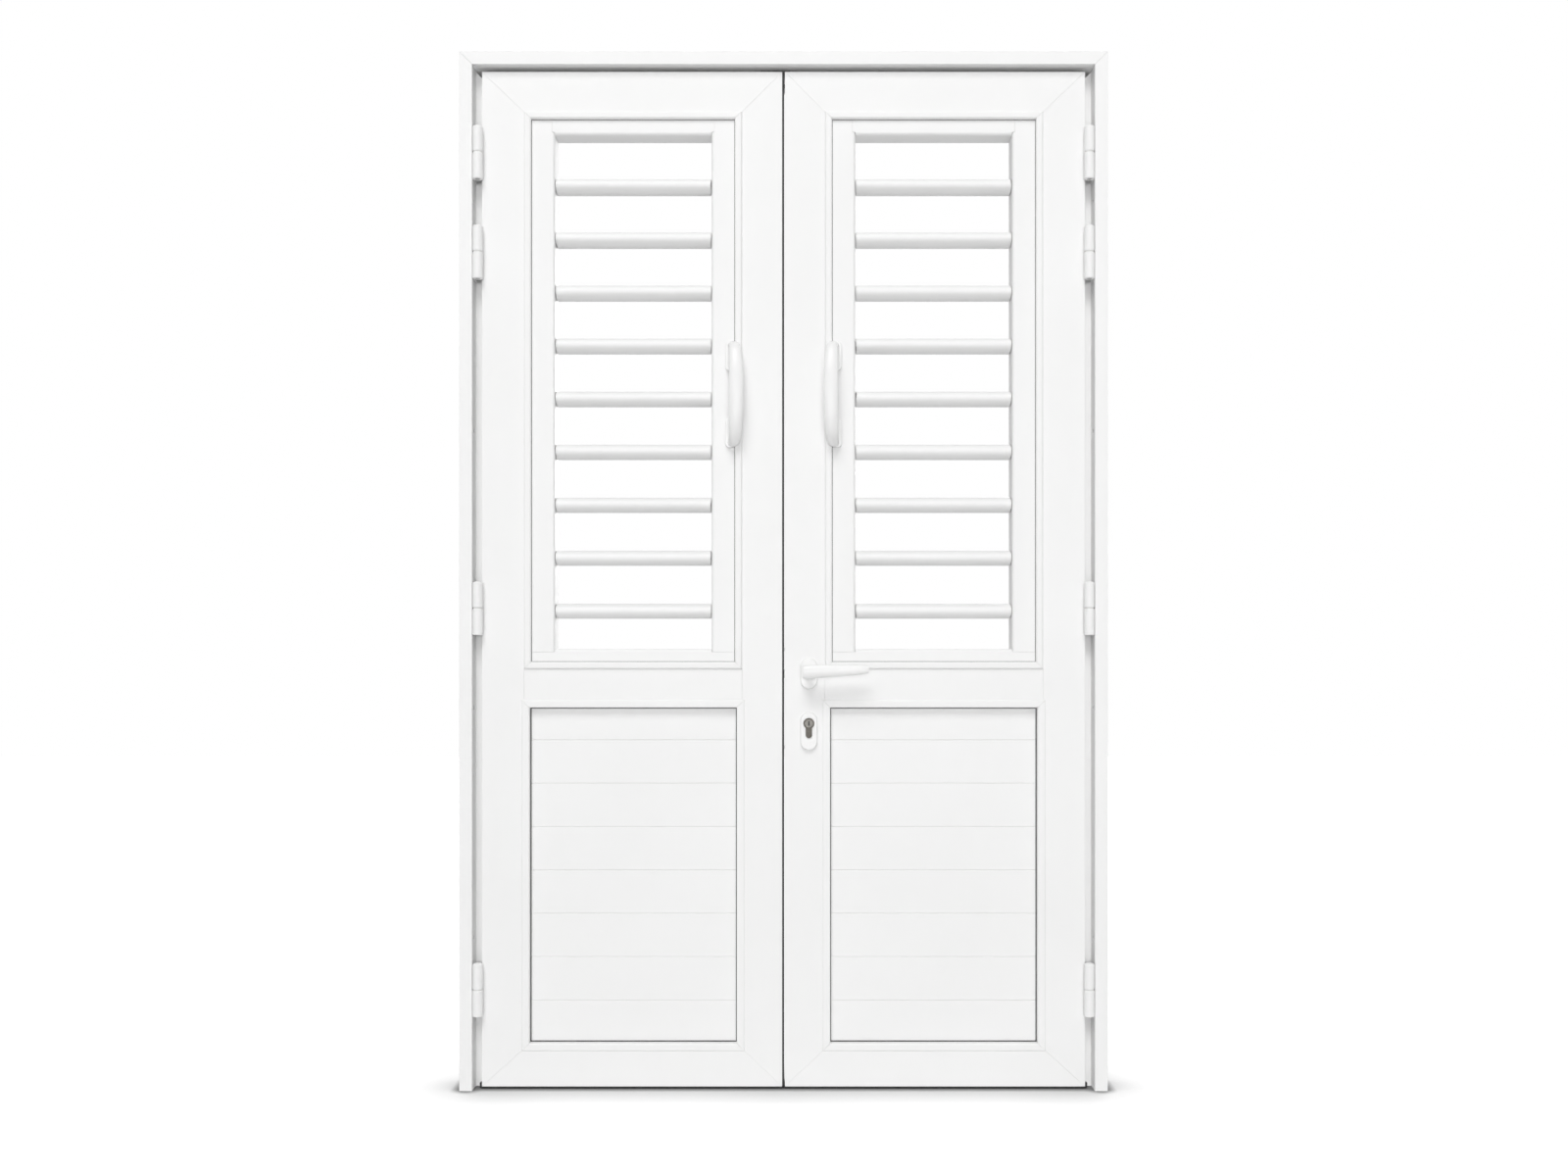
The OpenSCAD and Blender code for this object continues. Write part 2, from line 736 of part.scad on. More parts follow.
module louvre_top_rail() {
    x0 = opening_x0 - cassette_round + joint_gap;
    x1 = opening_x1 + cassette_round - joint_gap;
    color("white") difference() {
        high_bar(x0, x1, cassette_z1) cassette_section(cassette_top_h);
        cassette_cut([x0 - over, opening_z1 - over], [opening_x0 + joint_gap, head_joint_z]);
        cassette_cut([opening_x1 - joint_gap, opening_z1 - over], [x1 + over, head_joint_z]);
    }
}
module louvre_bottom_rail() {
    color("white") difference() {
        low_bar(cassette_x0, cassette_x1, cassette_z0) cassette_section(cassette_bottom_h);
        cassette_cut([cassette_x0 - over, sill_joint_z], [opening_x0 + joint_gap, opening_z0 + over]);
        cassette_cut([opening_x1 - joint_gap, sill_joint_z], [cassette_x1 + over, opening_z0 + over]);
    }
}
module right_louvre_stiles() louvre_stiles();
module left_louvre_stiles() mirror([1, 0, 0]) louvre_stiles();
module right_louvre_top_rail() louvre_top_rail();
module left_louvre_top_rail() mirror([1, 0, 0]) louvre_top_rail();
module right_louvre_bottom_rail() louvre_bottom_rail();
module left_louvre_bottom_rail() mirror([1, 0, 0]) louvre_bottom_rail();

// Hollow oval blades, their closing caps and the spigots that hold them

module blade_oval(inset) {
    polygon(oval(blade_t / 2 - inset, blade_depth / 2 - inset, oval_steps));
}
module at_blade(i, x) {
    translate([x, cassette_mid_y, blade_z(i)]) rotate([0, -90, 0]) children();
}
module louvre_blades() {
    color("white") for (i = [0:blade_count - 1])
        at_blade(i, blade_x1) linear_extrude(blade_x1 - blade_x0) difference() {
            blade_oval(0);
            blade_oval(blade_wall);
        }
}
plug_len = 12;
cap_inset = 1.5;
module blade_cap() {
    linear_extrude(cap_t - cap_inset) blade_oval(0);
    translate([0, 0, cap_t - cap_inset]) linear_extrude(cap_inset) blade_oval(cap_inset);
    translate([0, 0, -plug_len]) cylinder(r = blade_t / 2 - blade_wall - fit_gap, h = plug_len);
    cylinder(r = spigot_r, h = cap_t + cap_gap + spigot_len - fit_gap);
}
module blade_caps() {
    color("white") for (i = [0:blade_count - 1]) {
        at_blade(i, blade_x0) blade_cap();
        at_blade(i, blade_x1) mirror([0, 0, 1]) blade_cap();
    }
}
module right_louvre_blades() louvre_blades();
module left_louvre_blades() mirror([1, 0, 0]) louvre_blades();
module right_blade_caps() blade_caps();
module left_blade_caps() mirror([1, 0, 0]) blade_caps();

// Tongue-and-groove planks

function plank_low(i) = i == 0 ? plank_z0 : plank_z0 + first_plank_h + (i - 1) * plank_pitch;
function plank_high(i) = i == plank_count - 1 ? plank_z1 : plank_z0 + first_plank_h + i * plank_pitch;
tongue_y = (plank_front + lip_front) / 2;

module plank_section(h, grooved, tongued) {
    low = grooved ? groove_depth : 0;
    high = tongued ? groove_depth : 0;
    difference() {
        union() {
            polygon([[joint_gap, plank_front + low], [joint_gap + low, plank_front],
                [h - high, plank_front], [h, plank_front + high], [h, lip_front - high],
                [h - high, lip_front], [joint_gap + low, lip_front], [joint_gap, lip_front - low]]);
            if (tongued) translate([h, tongue_y - tongue_t / 2]) square([tongue_h, tongue_t]);
        }
        if (grooved) translate([0, tongue_y - tongue_t / 2 - fit_gap])
            square([tongue_h + fit_gap, tongue_t + 2 * fit_gap]);
        translate([tongue_h + plank_wall + fit_gap, plank_front + groove_depth + plank_wall])
            square([h - tongue_h - 2 * plank_wall - fit_gap,
                lip_front - plank_front - 2 * groove_depth - 2 * plank_wall]);
    }
}
module planks() {
    color("white") for (i = [0:plank_count - 1])
        low_bar(plank_x0, plank_x1, plank_low(i))
            plank_section(plank_high(i) - plank_low(i), i > 0, i < plank_count - 1);
}
module right_planks() planks();
module left_planks() mirror([1, 0, 0]) planks();

// Seals

seal_w = 9;
seal_clear = 1.5;
seal_set = 2;
meeting_seal_clear = 1.5;
meeting_seal_t = meeting_gap - meeting_seal_clear;
module bottom_seal() {
    color("black") block([meet_x, leaf_front + seal_set, seal_clear],
        [edge_x, leaf_front + seal_set + seal_w, leaf_bottom_z]);
}
module right_bottom_seal() bottom_seal();
module left_bottom_seal() mirror([1, 0, 0]) bottom_seal();
module meeting_seal() {
    color("black") block([-meet_x, leaf_front + seal_set, leaf_bottom_z],
        [meeting_seal_t - meet_x, leaf_front + seal_set + seal_w, leaf_top_z]);
}

// Pull handles: a bow on two feet beside the bead, leaning over it and swelling at its middle

pull_lean = 7;
pull_end_w = 21;
pull_end_t = 16;
pull_t = 11;
pull_rise_share = 0.7;
pull_foot_w = 19;
pull_foot_h = 60;
pull_end_inset = 9;
pull_bead_clear = 1;
pull_foot_t = cassette_recess + upper_bead_proud + pull_bead_clear;
pull_foot_x = meeting_in_x + upper_bead_w + fit_gap + pull_foot_w / 2;
pull_bow_x = pull_foot_x - pull_lean;
function pull_y(a) = -pull_reach * pow(sin(a), pull_rise_share);
function pull_zz(a) = (pull_end_inset - pull_len / 2) * cos(a);
function pull_tilt(a, d) = atan2(pull_zz(a + d) - pull_zz(a - d), pull_y(a - d) - pull_y(a + d));
tilt_step = 1;
function pull_ring(a) = let (s = sin(a),
    w = pull_end_w + (pull_w - pull_end_w) * s,
    t = pull_end_t + (pull_t - pull_end_t) * s,
    tilt = a < tilt_step ? 0 : a > 180 - tilt_step ? 180 : pull_tilt(a, tilt_step))
    [for (j = [0:ring_steps - 1]) let (b = 360 * j / ring_steps)
        [pull_bow_x - pull_lean * pow(s, pull_rise_share) + w / 2 * cos(b),
            cassette_front - pull_foot_t + pull_y(a) + t / 2 * sin(b) * sin(tilt),
            pull_z + pull_zz(a) + t / 2 * sin(b) * cos(tilt)]];

module pull_foot(z) {
    translate([pull_foot_x, cassette_front, z]) rotate([90, 0, 0]) linear_extrude(pull_foot_t)
        stadium(pull_foot_w, pull_foot_h);
}
module stadium(w, h) {
    for (side = [-1, 1]) translate([0, side * (h - w) / 2]) circle(r = w / 2);
    square([w, h - w], center = true);
}
module pull_handle() {
    color("white") {
        skin([for (i = [0:sweep_steps]) pull_ring(180 * i / sweep_steps)]);
        for (side = [-1, 1]) pull_foot(pull_z + side * (pull_len - pull_foot_h) / 2);
    }
}
module right_pull_handle() pull_handle();
module left_pull_handle() mirror([1, 0, 0]) pull_handle();

// Lock

module rose(z, h) {
    translate([lock_x, leaf_front, z]) rotate([90, 0, 0]) linear_extrude(rose_t) stadium(rose_w, h);
}
module front_and_back() {
    children();
    mirror([0, 1, 0]) children();
}
module lever_roses() {
    color("white") front_and_back() difference() {
        rose(lever_z, rose_h);
        y_pin(lock_x, lever_z, leaf_front - rose_t - over, leaf_front + over, neck_r + run_gap);
    }
}
module escutcheons() {
    color("white") front_and_back() difference() {
        rose(cylinder_z - escutcheon_drop, escutcheon_h);
        cylinder_shape(leaf_front - rose_t - over, leaf_front + over, fit_gap);
    }
}

// Outline of the profile cylinder: a round head over a slot with a round foot
module cylinder_shape(y0, y1, grow) {
    foot_z = cylinder_z + cylinder_head_r - cylinder_h + cylinder_slot_w / 2;
    y_pin(lock_x, cylinder_z, y0, y1, cylinder_head_r + grow);
    y_pin(lock_x, foot_z, y0, y1, cylinder_slot_w / 2 + grow);
    block([lock_x - cylinder_slot_w / 2 - grow, y0, foot_z],
        [lock_x + cylinder_slot_w / 2 + grow, y1, cylinder_z]);
}
cylinder_front = leaf_front - rose_t - cylinder_proud;
module cylinder_body() {
    color("darkgray") difference() {
        cylinder_shape(cylinder_front, -cylinder_front, 0);
        y_pin(lock_x, cylinder_z, cylinder_front - over, over - cylinder_front, plug_r + run_gap);
        y_pin(lock_x, cylinder_z, -cam_w / 2 - fit_gap, cam_w / 2 + fit_gap, cam_r + fit_gap);
    }
}
module cylinder_plug() {
    color("silver") difference() {
        union() {
            y_pin(lock_x, cylinder_z, cylinder_front, -cylinder_front, plug_r);
            y_pin(lock_x, cylinder_z, -cam_w / 2, cam_w / 2, cylinder_head_r);
            block([lock_x - cam_tooth_w / 2, -cam_w / 2, cylinder_z - cam_r + chamfer],
                [lock_x + cam_tooth_w / 2, cam_w / 2, cylinder_z]);
        }
        for (y = [cylinder_front - over, -cylinder_front - keyway_depth])
            block([lock_x - keyway_w / 2, y, cylinder_z - keyway_h / 2],
                [lock_x + keyway_w / 2, y + keyway_depth + over, cylinder_z + keyway_h / 2]);
    }
}

module lock_case() {
    x0 = meet_x + plate_t;
    color("silver") difference() {
        block([x0, -case_w / 2, case_z0], [x0 + case_depth, case_w / 2, case_z1]);
        y_pin(lock_x, lever_z, -case_w, case_w, follower_r + run_gap);
        cylinder_shape(-case_w, case_w, fit_gap);
        y_pin(lock_x, cylinder_z, -cam_w / 2 - fit_gap, cam_w / 2 + fit_gap, cam_r + fit_gap);
        block([x0 - over, -latch_w / 2 - fit_gap, lever_z - latch_h / 2 - fit_gap],
            [meet_x + latch_tail + latch_throw + fit_gap, latch_w / 2 + fit_gap,
                lever_z + latch_h / 2 + fit_gap]);
        block([x0 - over, -bolt_w / 2 - fit_gap, bolt_z - bolt_h / 2 - fit_gap],
            [meet_x + bolt_tail + fit_gap, bolt_w / 2 + fit_gap, bolt_z + bolt_h / 2 + fit_gap]);
    }
}

// Plate let into a meeting edge, with its latch and bolt holes
module edge_plate(z0, z1) {
    block([meet_x, -plate_w / 2, z0], [meet_x + plate_t, plate_w / 2, z1]);
}
module bolt_hole(z, w, h) {
    block([meet_x - over, -w / 2 - fit_gap, z - h / 2 - fit_gap],
        [meet_x + plate_t + over, w / 2 + fit_gap, z + h / 2 + fit_gap]);
}
module lock_plate() {
    color("silver") difference() {
        edge_plate(faceplate_z0, faceplate_z1);
        bolt_hole(lever_z, latch_w, latch_h);
        bolt_hole(bolt_z, bolt_w, bolt_h);
    }
}
module lock_faceplate() lock_plate();
module strike_plate() mirror([1, 0, 0]) lock_plate();

// Latch bolt with its closing bevel at the back, thrown at rest, and the withdrawn dead bolt
module latch_bolt() {
    x0 = meet_x - latch_throw;
    x1 = meet_x + latch_tail;
    color("silver") translate([0, 0, lever_z - latch_h / 2]) linear_extrude(latch_h)
        polygon([[x0, -latch_w / 2], [x1, -latch_w / 2], [x1, latch_w / 2], [meet_x, latch_w / 2],
            [x0, chamfer - latch_w / 2]]);
}
module dead_bolt() {
    color("silver") block([meet_x + joint_gap, -bolt_w / 2, bolt_z - bolt_h / 2],
        [meet_x + bolt_tail - fit_gap, bolt_w / 2, bolt_z + bolt_h / 2]);
}

// Spindle with the follower that it turns in the lock
spindle_share = 0.33;
spindle_end = leaf_front - rose_t - spindle_share * lever_reach;
module spindle() {
    color("silver") {
        block([lock_x - spindle_w / 2, spindle_end, lever_z - spindle_w / 2],
            [lock_x + spindle_w / 2, -spindle_end, lever_z + spindle_w / 2]);
        y_pin(lock_x, lever_z, -case_w / 2, case_w / 2, follower_r);
    }
}

// Lever: a round neck and an arm that tapers below a level top edge
arm_t = 13;
arm_tip_t = 9;
arm_lift = 2.5;
arm_end_share = 3.2;
arm_y = leaf_front - lever_reach + arm_t / 2;
function arm_swell(s) = pow(1 - pow(abs(2 * s - 1), 2 * arm_end_share), 1 / arm_end_share / 2);
arm_first_share = 0.015;
function arm_ring(s) = let (full = lever_root_h + (lever_tip_h - lever_root_h) * s,
    h = full * arm_swell(s) / 2,
    t = (arm_t + (arm_tip_t - arm_t) * s) * arm_swell(s) / 2,
    length = lever_len + lever_root_h / 2,
    mid_z = lever_z + arm_lift + (lever_root_h - full) / 2)
    [for (j = [0:ring_steps - 1]) let (b = 360 * j / ring_steps)
        [lock_x - lever_root_h / 2 + s * length, arm_y + t * cos(b), mid_z + h * sin(b)]];
module lever() {
    color("white") difference() {
        union() {
            y_pin(lock_x, lever_z, arm_y, leaf_front, neck_r);
            skin([for (i = [0:sweep_steps])
                let (s = (1 - cos(180 * i / sweep_steps)) / 2)
                    arm_ring(arm_first_share + (1 - 2 * arm_first_share) * s)]);
        }
        half = spindle_w / 2 + joint_gap;
        block([lock_x - half, spindle_end - fit_gap, lever_z - half],
            [lock_x + half, leaf_front + over, lever_z + half]);
    }
}
module outer_lever() lever();
module inner_lever() mirror([0, 1, 0]) lever();

// Flush bolts of the passive leaf, modelled for the bottom edge and mirrored for the top

thumb_z = bottom_flush_z0 + flush_plate_h / 2;
flush_x = meet_x + flush_inset;
module flush_case() {
    difference() {
        union() {
            edge_plate(bottom_flush_z0, bottom_flush_z0 + flush_plate_h);
            block([meet_x + plate_t, -plate_w / 2 + leaf_wall, bottom_flush_z0],
                [flush_x + flush_r + plate_t, plate_w / 2 - leaf_wall, bottom_flush_z0 + guide_h]);
        }
        translate([flush_x, 0, bottom_flush_z0 - over])
            cylinder(r = flush_r + run_gap, h = guide_h + 2 * over);
        block([meet_x - over, -thumb_w / 2 - fit_gap, thumb_z - flush_throw - fit_gap],
            [meet_x + plate_t + over, thumb_w / 2 + fit_gap, thumb_z + thumb_h + fit_gap]);
    }
}
module flush_bolt() {
    translate([flush_x, 0, leaf_bottom_z + flush_rest])
        cylinder(r = flush_r, h = thumb_z + thumb_h - leaf_bottom_z - flush_rest);
    block([meet_x + joint_gap, -thumb_w / 2, thumb_z], [flush_x, thumb_w / 2, thumb_z + thumb_h]);
}
module flip_to_top() {
    translate([0, 0, leaf_top_z + leaf_bottom_z]) mirror([0, 0, 1]) children();
}
module flush_bolt_cases() {
    color("silver") mirror([1, 0, 0]) {
        flush_case();
        flip_to_top() flush_case();
    }
}
module bottom_flush_bolt() color("silver") mirror([1, 0, 0]) flush_bolt();
module top_flush_bolt() color("silver") mirror([1, 0, 0]) flip_to_top() flush_bolt();

left_jamb();
right_jamb();
head();
frame_corner_cleats();
frame_gasket();
head_bolt_keep();
hinge_frame_halves();
hinge_pins();
hinge_washers();
left_hinge_stile();
left_meeting_stile();
left_top_rail();
left_mid_rail();
left_bottom_rail();
left_corner_cleats();
left_upper_bead();
left_lower_bead();
left_louvre_stiles();
left_louvre_top_rail();
left_louvre_bottom_rail();
left_louvre_blades();
left_blade_caps();
left_planks();
left_bottom_seal();
left_pull_handle();
left_hinge_halves();
right_hinge_stile();
right_meeting_stile();
right_top_rail();
right_mid_rail();
right_bottom_rail();
right_corner_cleats();
right_upper_bead();
right_lower_bead();
right_louvre_stiles();
right_louvre_top_rail();
right_louvre_bottom_rail();
right_louvre_blades();
right_blade_caps();
right_planks();
right_bottom_seal();
right_pull_handle();
right_hinge_halves();
meeting_seal();
strike_plate();
flush_bolt_cases();
top_flush_bolt();
bottom_flush_bolt();
lock_case();
lock_faceplate();
lever_roses();
escutcheons();
cylinder_body();
cylinder_plug();
latch_bolt();
dead_bolt();
spindle();
outer_lever();
inner_lever();
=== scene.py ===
"""Looks of the louvered double door in its frame: finishes, softened edges, screws, light and camera."""
import json
from math import radians

import bpy
from mathutils import Matrix, Vector

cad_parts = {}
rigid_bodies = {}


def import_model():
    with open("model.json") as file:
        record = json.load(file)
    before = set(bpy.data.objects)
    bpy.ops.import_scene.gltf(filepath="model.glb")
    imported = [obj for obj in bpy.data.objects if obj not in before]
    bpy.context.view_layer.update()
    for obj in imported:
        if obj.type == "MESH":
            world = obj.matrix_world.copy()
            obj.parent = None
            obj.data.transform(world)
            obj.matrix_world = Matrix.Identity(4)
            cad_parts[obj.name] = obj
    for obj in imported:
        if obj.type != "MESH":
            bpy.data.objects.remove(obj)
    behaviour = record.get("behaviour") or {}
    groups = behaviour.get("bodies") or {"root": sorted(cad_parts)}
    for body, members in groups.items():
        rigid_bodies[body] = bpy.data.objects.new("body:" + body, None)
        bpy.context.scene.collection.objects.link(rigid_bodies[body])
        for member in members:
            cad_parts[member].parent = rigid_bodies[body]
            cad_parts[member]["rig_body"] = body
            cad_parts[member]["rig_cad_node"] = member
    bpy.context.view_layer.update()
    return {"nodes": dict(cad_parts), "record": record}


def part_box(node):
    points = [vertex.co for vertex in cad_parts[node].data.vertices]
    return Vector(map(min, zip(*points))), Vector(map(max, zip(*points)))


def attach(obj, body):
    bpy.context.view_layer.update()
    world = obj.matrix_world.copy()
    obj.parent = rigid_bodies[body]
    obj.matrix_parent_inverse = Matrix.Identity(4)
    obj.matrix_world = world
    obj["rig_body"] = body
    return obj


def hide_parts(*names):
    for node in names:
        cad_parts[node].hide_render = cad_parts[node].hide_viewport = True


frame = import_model()
nodes = frame["nodes"]
record = frame["record"]
slot_of = {part["node"]: part["material_slot"] for part in record["subparts"]}
body_of = {node: body for body, members in record["behaviour"]["bodies"].items() for node in members}


# Finishes

noise_low = 0.3
noise_high = 0.7


def start_finish(name, color, roughness, metallic=0.0):
    """A new material with its plain values on the shader's own sockets."""
    material = bpy.data.materials.new(name)
    material.use_nodes = True
    shader = material.node_tree.nodes["Principled BSDF"]
    shader.inputs["Base Color"].default_value = (*color, 1)
    shader.inputs["Roughness"].default_value = roughness
    shader.inputs["Metallic"].default_value = metallic
    return material, shader


def noise_on(material, scale, detail, stretch=(1, 1, 1)):
    """Noise over the piece's own coordinates; scale is in features per metre."""
    tree = material.node_tree
    place = tree.nodes.new("ShaderNodeTexCoord")
    mapping = tree.nodes.new("ShaderNodeMapping")
    mapping.inputs["Scale"].default_value = stretch
    noise = tree.nodes.new("ShaderNodeTexNoise")
    noise.inputs["Scale"].default_value = scale
    noise.inputs["Detail"].default_value = detail
    tree.links.new(place.outputs["Object"], mapping.inputs["Vector"])
    tree.links.new(mapping.outputs["Vector"], noise.inputs["Vector"])
    return noise.outputs["Fac"]


def vary_color(material, shader, pattern, dark, light):
    """Tone that drifts between two colours."""
    tree = material.node_tree
    ramp = tree.nodes.new("ShaderNodeValToRGB")
    first, last = ramp.color_ramp.elements
    first.position = noise_low
    first.color = (*dark, 1)
    last.position = noise_high
    last.color = (*light, 1)
    tree.links.new(pattern, ramp.inputs["Fac"])
    tree.links.new(ramp.outputs["Color"], shader.inputs["Base Color"])


def vary_gloss(material, shader, pattern, low, high):
    """Roughness that drifts between two values."""
    tree = material.node_tree
    spread = tree.nodes.new("ShaderNodeMapRange")
    spread.inputs["From Min"].default_value = noise_low
    spread.inputs["From Max"].default_value = noise_high
    spread.inputs["To Min"].default_value = low
    spread.inputs["To Max"].default_value = high
    tree.links.new(pattern, spread.inputs["Value"])
    tree.links.new(spread.outputs["Result"], shader.inputs["Roughness"])


def raise_grain(material, shader, pattern, depth, strength):
    """Relief of the surface; depth is in metres."""
    tree = material.node_tree
    bump = tree.nodes.new("ShaderNodeBump")
    bump.inputs["Distance"].default_value = depth
    bump.inputs["Strength"].default_value = strength
    tree.links.new(pattern, bump.inputs["Height"])
    tree.links.new(bump.outputs["Normal"], shader.inputs["Normal"])


def powder_coat():
    """Satin white powder coat with a fine orange peel."""
    material, shader = start_finish("white_powder_coat", color=(0.885, 0.885, 0.882), roughness=0.49)
    drift = noise_on(material, scale=4, detail=3)
    vary_color(material, shader, drift, dark=(0.876, 0.876, 0.873), light=(0.892, 0.892, 0.89))
    vary_gloss(material, shader, noise_on(material, scale=60, detail=4), low=0.45, high=0.55)
    raise_grain(material, shader, noise_on(material, scale=700, detail=2), depth=0.00004, strength=0.5)
    return material


def smooth_enamel():
    """Glossier white enamel of the handles and roses."""
    material, shader = start_finish("white_enamel", color=(0.87, 0.87, 0.866), roughness=0.36)
    drift = noise_on(material, scale=9, detail=3)
    vary_color(material, shader, drift, dark=(0.86, 0.86, 0.856), light=(0.876, 0.876, 0.872))
    vary_gloss(material, shader, noise_on(material, scale=90, detail=4), low=0.32, high=0.42)
    raise_grain(material, shader, noise_on(material, scale=420, detail=2), depth=0.00002, strength=0.3)
    return material


def moulded_nylon(name, color, shade):
    """Moulded plastic with a fine matt texture; shade is the darker tone's share of the colour."""
    material, shader = start_finish(name, color, roughness=0.5)
    darker = tuple(shade * channel for channel in color)
    vary_color(material, shader, noise_on(material, scale=30, detail=3), dark=darker, light=color)
    vary_gloss(material, shader, noise_on(material, scale=140, detail=3), low=0.45, high=0.58)
    raise_grain(material, shader, noise_on(material, scale=1500, detail=3), depth=0.00003, strength=0.4)
    return material


def drawn_metal(name, dark, light, low, high, stretch):
    """Bare or plated metal with fine drawing lines along one direction."""
    material, shader = start_finish(name, color=light, roughness=low, metallic=1.0)
    vary_color(material, shader, noise_on(material, scale=180, detail=5, stretch=stretch), dark, light)
    vary_gloss(material, shader, noise_on(material, scale=260, detail=4, stretch=stretch), low, high)
    lines = noise_on(material, scale=900, detail=3, stretch=stretch)
    raise_grain(material, shader, lines, depth=0.00002, strength=0.35)
    return material


def mill_aluminium():
    """Bare aluminium of the corner cleats, with upright drawing lines."""
    dark = (0.62, 0.63, 0.64)
    light = (0.74, 0.75, 0.76)
    return drawn_metal("mill_aluminium", dark, light, low=0.3, high=0.45, stretch=(1, 1, 0.05))


def zinc_steel():
    """Zinc-plated steel of the hinge pins, lock, bolts, plates and screws, with upright drawing lines."""
    dark = (0.5, 0.5, 0.5)
    light = (0.66, 0.66, 0.65)
    return drawn_metal("zinc_steel", dark, light, low=0.26, high=0.42, stretch=(1, 1, 0.08))


def lock_nickel(name, dark, light):
    """Satin nickel of the lock cylinder, its lines running through the leaf."""
    return drawn_metal(name, dark, light, low=0.4, high=0.5, stretch=(1, 0.1, 1))


def black_rubber():
    """Extruded matt black rubber with a dusty bloom."""
    material, shader = start_finish("black_rubber", color=(0.022, 0.022, 0.023), roughness=0.7)
    bloom = noise_on(material, scale=40, detail=5)
    vary_color(material, shader, bloom, dark=(0.018, 0.018, 0.019), light=(0.036, 0.036, 0.037))
    vary_gloss(material, shader, noise_on(material, scale=200, detail=3), low=0.6, high=0.82)
    raise_grain(material, shader, noise_on(material, scale=1200, detail=3), depth=0.00005, strength=0.5)
    return material


finishes = {
    "white_paint": powder_coat(),
    "white_hardware": smooth_enamel(),
    "white_nylon": moulded_nylon("white_nylon", color=(0.87, 0.87, 0.865), shade=0.985),
    "nylon": moulded_nylon("washer_nylon", color=(0.8, 0.8, 0.78), shade=0.96),
    "mill_aluminium": mill_aluminium(),
    "steel": zinc_steel(),
    "nickel": lock_nickel("satin_nickel", dark=(0.07, 0.065, 0.058), light=(0.105, 0.098, 0.088)),
    "black_rubber": black_rubber(),
}
turned_nickel = lock_nickel("turned_nickel", dark=(0.15, 0.144, 0.134), light=(0.19, 0.183, 0.17))
for name, node in nodes.items():
    node.data.materials.clear()
    node.data.materials.append(finishes[slot_of[name]])
nodes["cylinder_plug"].data.materials[0] = turned_nickel


# Softened copies of the sections and fittings

merge_reach = 0.00001
flat_angle = radians(1)
bevel_angle = radians(40)
smooth_angle = radians(35)


def only(piece):
    """Selects one object alone and makes it active."""
    bpy.ops.object.select_all(action="DESELECT")
    piece.select_set(True)
    bpy.context.view_layer.objects.active = piece


def press(piece, kind, **values):
    """Adds a modifier with its values and applies it."""
    modifier = piece.modifiers.new("press", kind)
    for key, value in values.items():
        setattr(modifier, key, value)
    only(piece)
    bpy.ops.object.modifier_apply(modifier="press")


def mark_rim(mesh, on_rim):
    """Gives full bevel weight to the edges whose two ends lie on the rim."""
    mark = mesh.attributes.new("bevel_weight_edge", "FLOAT", "EDGE")
    for edge in mesh.edges:
        ends = [mesh.vertices[end].co for end in edge.vertices]
        mark.data[edge.index].value = float(all(on_rim(end) for end in ends))


def softened(node, radius, segments=2, on_rim=None):
    """A node's shape with merged corners, rounded edges and smooth curves, standing for the node."""
    piece = nodes[node].copy()
    piece.data = nodes[node].data.copy()
    piece.name = "soft_" + node
    piece.parent = None
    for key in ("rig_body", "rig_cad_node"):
        del piece[key]
    bpy.context.scene.collection.objects.link(piece)
    only(piece)
    bpy.ops.object.mode_set(mode="EDIT")
    bpy.ops.mesh.select_all(action="SELECT")
    bpy.ops.mesh.remove_doubles(threshold=merge_reach)
    bpy.ops.mesh.dissolve_limited(angle_limit=flat_angle)
    bpy.ops.object.mode_set(mode="OBJECT")
    if radius:
        limit = "ANGLE"
        if on_rim:
            limit = "WEIGHT"
            mark_rim(piece.data, on_rim)
        press(piece, "BEVEL", width=radius, segments=segments, limit_method=limit,
              angle_limit=bevel_angle, use_clamp_overlap=False)
    bpy.ops.object.shade_smooth_by_angle(angle=smooth_angle)
    press(piece, "WEIGHTED_NORMAL", keep_sharp=True)
    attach(piece, body_of[node])
    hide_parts(node)
    return piece


rim_share = 0.9
face_share = 0.999


def plate_rim(node):
    """Test for the outer front edge of a round-ended plate and of its twin on the leaf's other side."""
    low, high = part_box(node)
    half_w = (high.x - low.x) / 2

    def on_rim(point):
        middle_z = min(max(point.z, low.z + half_w), high.z - half_w)
        away = Vector((point.x - low.x - half_w, point.z - middle_z)).length
        return away > rim_share * half_w and abs(point.y) > face_share * high.y

    return on_rim


no_edge = 0
section_edge = 0.0007
leaf_edge = 0.0004
plate_edge = 0.0004
hinge_edge = 0.001
grip_edge = 0.0012
grip_segments = 3
rose_edge = 0.003
rose_segments = 4
for side in ("left_", "right_"):
    for smooth_part in ("louvre_blades", "blade_caps"):
        softened(side + smooth_part, no_edge)
    softened(side + "pull_handle", grip_edge, grip_segments)
    softened(side + "jamb", section_edge)
    for section in ("hinge_stile", "meeting_stile", "top_rail", "mid_rail", "bottom_rail"):
        softened(side + section, leaf_edge)
    for section in ("upper_bead", "lower_bead", "louvre_stiles", "louvre_top_rail", "louvre_bottom_rail"):
        softened(side + section, section_edge)
    softened(side + "hinge_halves", hinge_edge)
for lever in ("outer_lever", "inner_lever"):
    softened(lever, no_edge)
softened("head", section_edge)
softened("hinge_frame_halves", hinge_edge)
for plate in ("lock_faceplate", "strike_plate"):
    softened(plate, plate_edge)
for rose in ("lever_roses", "escutcheons"):
    softened(rose, rose_edge, rose_segments, plate_rim(rose))


# Small pieces that the sections carry

